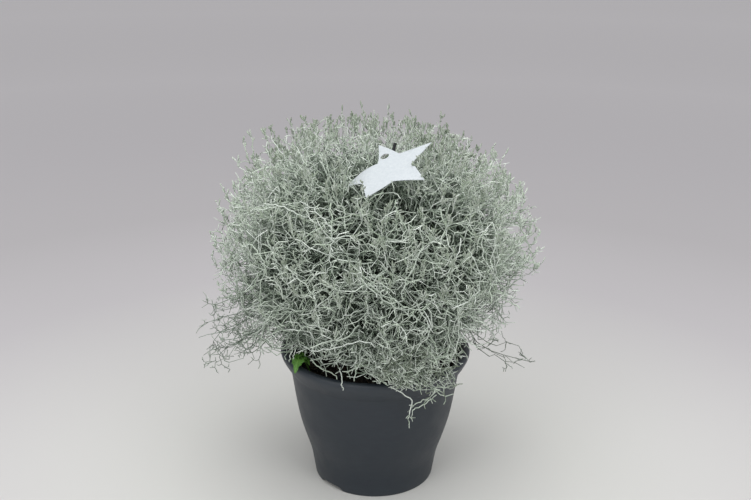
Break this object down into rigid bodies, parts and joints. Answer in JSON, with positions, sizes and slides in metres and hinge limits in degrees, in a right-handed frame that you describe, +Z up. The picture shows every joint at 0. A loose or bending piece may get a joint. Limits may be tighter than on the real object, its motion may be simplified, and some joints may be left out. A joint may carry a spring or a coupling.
{
  "type": "potted cushion bush",
  "caption": "Ball-shaped silver-green cushion bush of fine wiry twigs in a round dark plastic nursery pot, with a bare star-shaped card tag on a stake and a small weed at the rim.",
  "frame": {"origin": "centre of the pot's foot, on the surface that it stands on", "axes": "+Z up along the pot's axis; -Y is the front, where the card tag lies on the upper slope of the bush"},
  "size_m": [0.3844, 0.3456, 0.4301],
  "materials": {
    "pot_plastic": "matte, slightly dusty moulded plastic",
    "potting_soil": "rough, damp bark and peat mix",
    "bush_twigs": "matte, felted silver-green",
    "stake_plastic": "matte dark plastic",
    "tag_card": "smooth white card",
    "weed_leaf": "soft fresh green leaf"
  },
  "bodies": {
    "root": {"pot": "pot_plastic", "soil": "potting_soil", "bush_spray_01": "bush_twigs", "bush_spray_02": "bush_twigs", "bush_spray_03": "bush_twigs", "bush_spray_04": "bush_twigs", "bush_spray_05": "bush_twigs", "bush_spray_06": "bush_twigs", "bush_spray_07": "bush_twigs", "bush_spray_08": "bush_twigs", "bush_spray_09": "bush_twigs", "bush_spray_10": "bush_twigs", "bush_spray_11": "bush_twigs", "bush_spray_12": "bush_twigs", "bush_spray_13": "bush_twigs", "bush_spray_14": "bush_twigs", "bush_spray_15": "bush_twigs", "bush_spray_16": "bush_twigs", "bush_spray_17": "bush_twigs", "bush_spray_18": "bush_twigs", "bush_spray_19": "bush_twigs", "bush_spray_20": "bush_twigs", "bush_spray_21": "bush_twigs", "tag_stake": "stake_plastic", "tag_star": "tag_card", "weed_seedling": "weed_leaf"}
  },
  "joints": []
}
